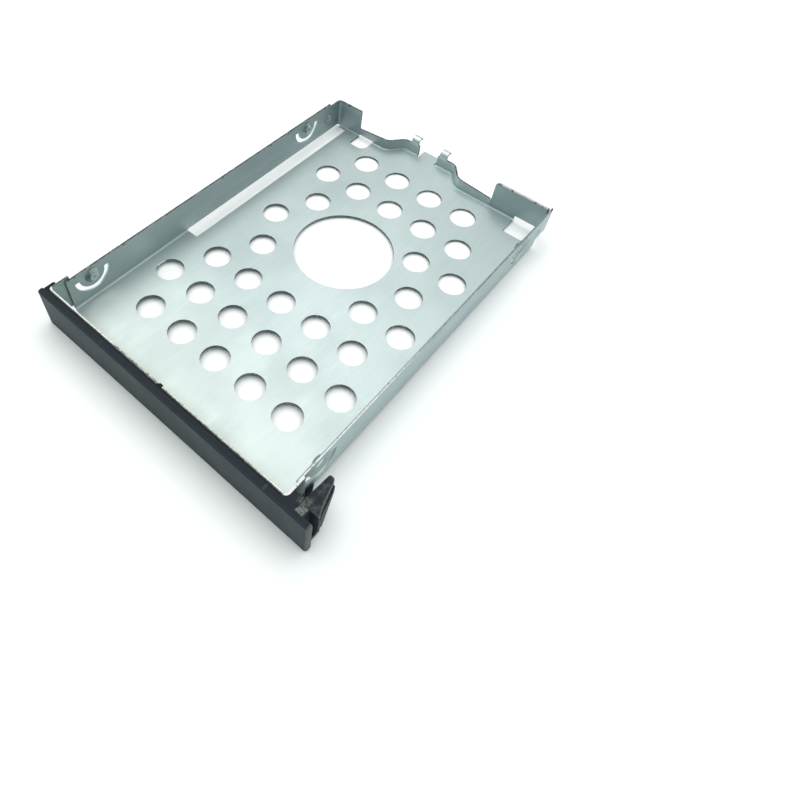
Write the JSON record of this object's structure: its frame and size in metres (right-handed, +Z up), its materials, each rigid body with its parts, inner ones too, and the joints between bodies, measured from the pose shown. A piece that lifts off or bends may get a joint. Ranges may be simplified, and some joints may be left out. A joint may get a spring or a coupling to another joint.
{
  "type": "laptop drive caddy",
  "caption": "Shallow folded steel tray with a perforated floor and spring pips that carries a 2.5-inch drive, closed at the front by a black moulded bezel with a guide ear.",
  "frame": {"origin": "under the middle of the whole caddy's footprint, at the height of the bezel's bottom edge", "axes": "+Y along the caddy's length from the bezel to the back lip, +X across it towards the guide ear, +Z up out of the open tray"},
  "size_m": [0.0804, 0.1116, 0.012],
  "materials": {
    "plated_steel": "satin zinc plating",
    "black_plastic": "fine matte moulding texture"
  },
  "bodies": {
    "root": {"tray": "plated_steel", "bezel": "black_plastic"}
  },
  "joints": []
}
